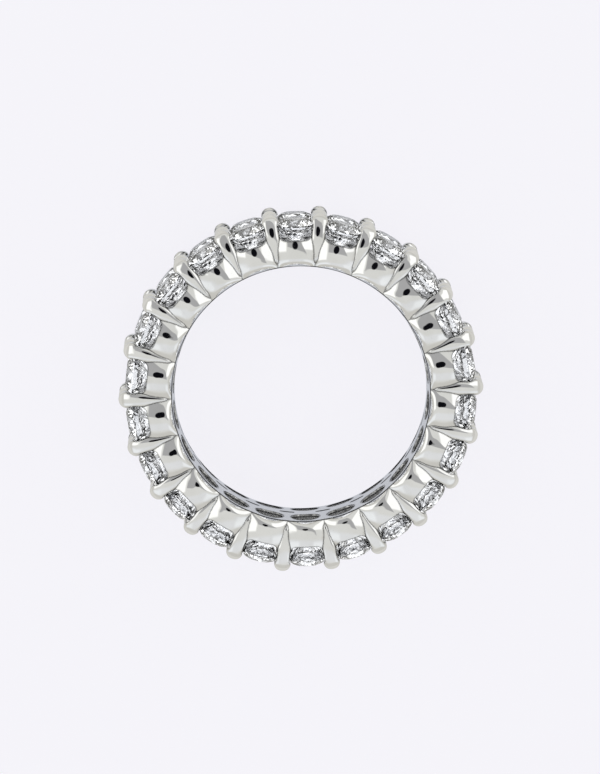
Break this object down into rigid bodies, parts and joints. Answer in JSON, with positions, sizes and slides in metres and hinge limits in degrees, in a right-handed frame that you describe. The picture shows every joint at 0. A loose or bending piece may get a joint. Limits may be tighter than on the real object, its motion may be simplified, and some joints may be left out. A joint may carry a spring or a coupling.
{
  "type": "eternity ring",
  "caption": "Double-row eternity ring with round brilliant-cut clear stones in shared prongs, open-backed cups with scalloped sides, in polished white metal.",
  "frame": {"origin": "on the ring's axis, in the plane that it lies on", "axes": "+Z along the finger hole's axis, up from the plane that the ring lies on; +X and +Y across the ring, +X towards the first stone less its angle of 10.2 degrees"},
  "size_m": [0.0244, 0.0242, 0.0057],
  "materials": {
    "metal": "polished white gold",
    "stone": "clear, brilliant cut and polished"
  },
  "bodies": {
    "root": {"mount": "metal", "stone_front_01": "stone", "stone_front_02": "stone", "stone_front_03": "stone", "stone_front_04": "stone", "stone_front_05": "stone", "stone_front_06": "stone", "stone_front_07": "stone", "stone_front_08": "stone", "stone_front_09": "stone", "stone_front_10": "stone", "stone_front_11": "stone", "stone_front_12": "stone", "stone_front_13": "stone", "stone_front_14": "stone", "stone_front_15": "stone", "stone_front_16": "stone", "stone_front_17": "stone", "stone_front_18": "stone", "stone_front_19": "stone", "stone_front_20": "stone", "stone_front_21": "stone", "stone_front_22": "stone", "stone_back_01": "stone", "stone_back_02": "stone", "stone_back_03": "stone", "stone_back_04": "stone", "stone_back_05": "stone", "stone_back_06": "stone", "stone_back_07": "stone", "stone_back_08": "stone", "stone_back_09": "stone", "stone_back_10": "stone", "stone_back_11": "stone", "stone_back_12": "stone", "stone_back_13": "stone", "stone_back_14": "stone", "stone_back_15": "stone", "stone_back_16": "stone", "stone_back_17": "stone", "stone_back_18": "stone", "stone_back_19": "stone", "stone_back_20": "stone", "stone_back_21": "stone", "stone_back_22": "stone"}
  },
  "joints": []
}
